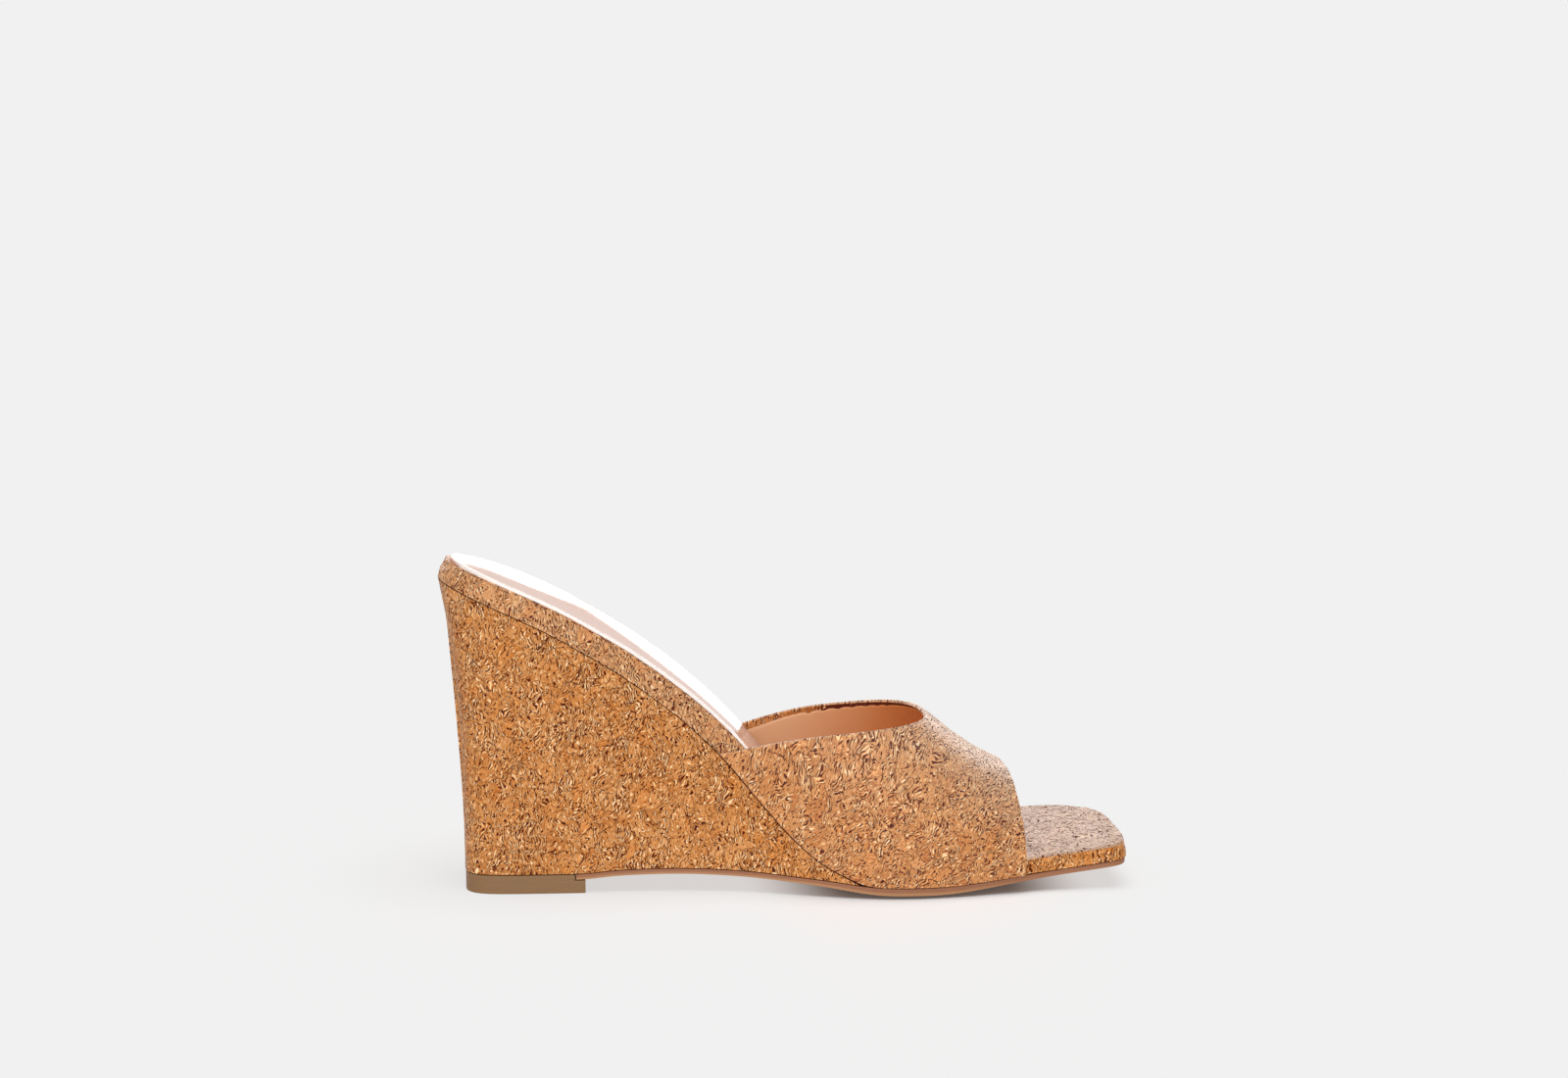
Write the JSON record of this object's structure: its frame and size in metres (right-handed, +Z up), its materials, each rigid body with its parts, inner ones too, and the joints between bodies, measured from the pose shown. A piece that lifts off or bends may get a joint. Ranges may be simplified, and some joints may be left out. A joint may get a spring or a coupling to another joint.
{
  "type": "cork wedge sandal",
  "caption": "Left slip-on sandal with a high full wedge heel, square open toe, one-piece vamp and thin leather insole, covered in natural cork.",
  "frame": {"origin": "on the floor, below the middle of the shoe's box", "axes": "+X from heel to toe, -Y towards the inner side of the foot, +Z up"},
  "size_m": [0.2198, 0.0808, 0.106],
  "materials": {
    "outsole": "brown moulded sole edge, satin",
    "heel_lift": "tan rubber, matt",
    "wedge_cork": "natural cork sheet with pressed chips, satin",
    "footbed_cork": "natural cork sheet wrapped over the edge, satin",
    "insole_leather": "pale pink smooth leather, glossy",
    "vamp_cork": "natural cork sheet over tan leather lining, satin"
  },
  "bodies": {
    "root": {"outsole": "outsole", "heel_top_lift": "heel_lift", "wedge_heel": "wedge_cork", "footbed": "footbed_cork", "insole_sock": "insole_leather", "upper_vamp": "vamp_cork"}
  },
  "joints": []
}
